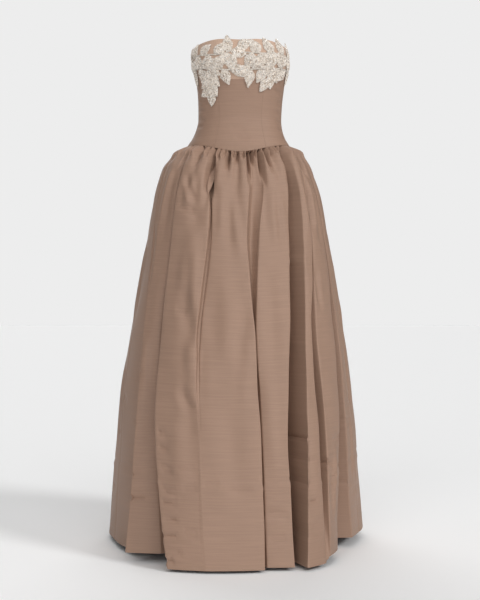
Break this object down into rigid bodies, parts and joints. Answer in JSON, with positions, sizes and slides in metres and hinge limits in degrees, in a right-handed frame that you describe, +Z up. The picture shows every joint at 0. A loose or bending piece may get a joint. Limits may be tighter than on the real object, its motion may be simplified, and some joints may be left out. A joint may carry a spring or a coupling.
{
  "type": "ball gown",
  "caption": "Strapless floor-length ball gown: fitted panelled bodice, net yoke covered in beaded leaves, full gathered skirt with deep standing folds.",
  "frame": {"origin": "centre of the natural waist, on the wearer's axis", "axes": "+Z up, -Y the front of the gown, +X the wearer's left"},
  "size_m": [0.7421, 0.8017, 1.4003],
  "materials": {
    "faille": "taupe silk faille with fine crosswise ribs and a soft sheen",
    "net": "nude net over matt backing",
    "beaded_leaf": "ivory and silver leaves thickly sewn with crystal beads",
    "zip_tape": "matt woven tape",
    "zip_metal": "satin enamel to match the cloth"
  },
  "bodies": {
    "gown": {"bodice_centre_front": "faille", "bodice_side_front_left": "faille", "bodice_side_front_right": "faille", "bodice_side_back_left": "faille", "bodice_side_back_right": "faille", "bodice_back_left": "faille", "bodice_back_right": "faille", "yoke_front": "net", "yoke_back_left": "net", "yoke_back_right": "net", "skirt_front": "faille", "skirt_back_left": "faille", "skirt_back_right": "faille", "applique_front": "beaded_leaf", "applique_back_left": "beaded_leaf", "applique_back_right": "beaded_leaf", "zip_tape": "zip_tape", "zip_slider": "zip_metal"},
    "pull": {"zip_pull": "zip_metal"}
  },
  "joints": [
    {"name": "zip_pull_hinge", "type": "hinge", "parent": "gown", "child": "pull", "pos_m": [0, 0.0993, 0.156], "axis": [1, 0, 0], "range_deg": [0, 150]}
  ]
}
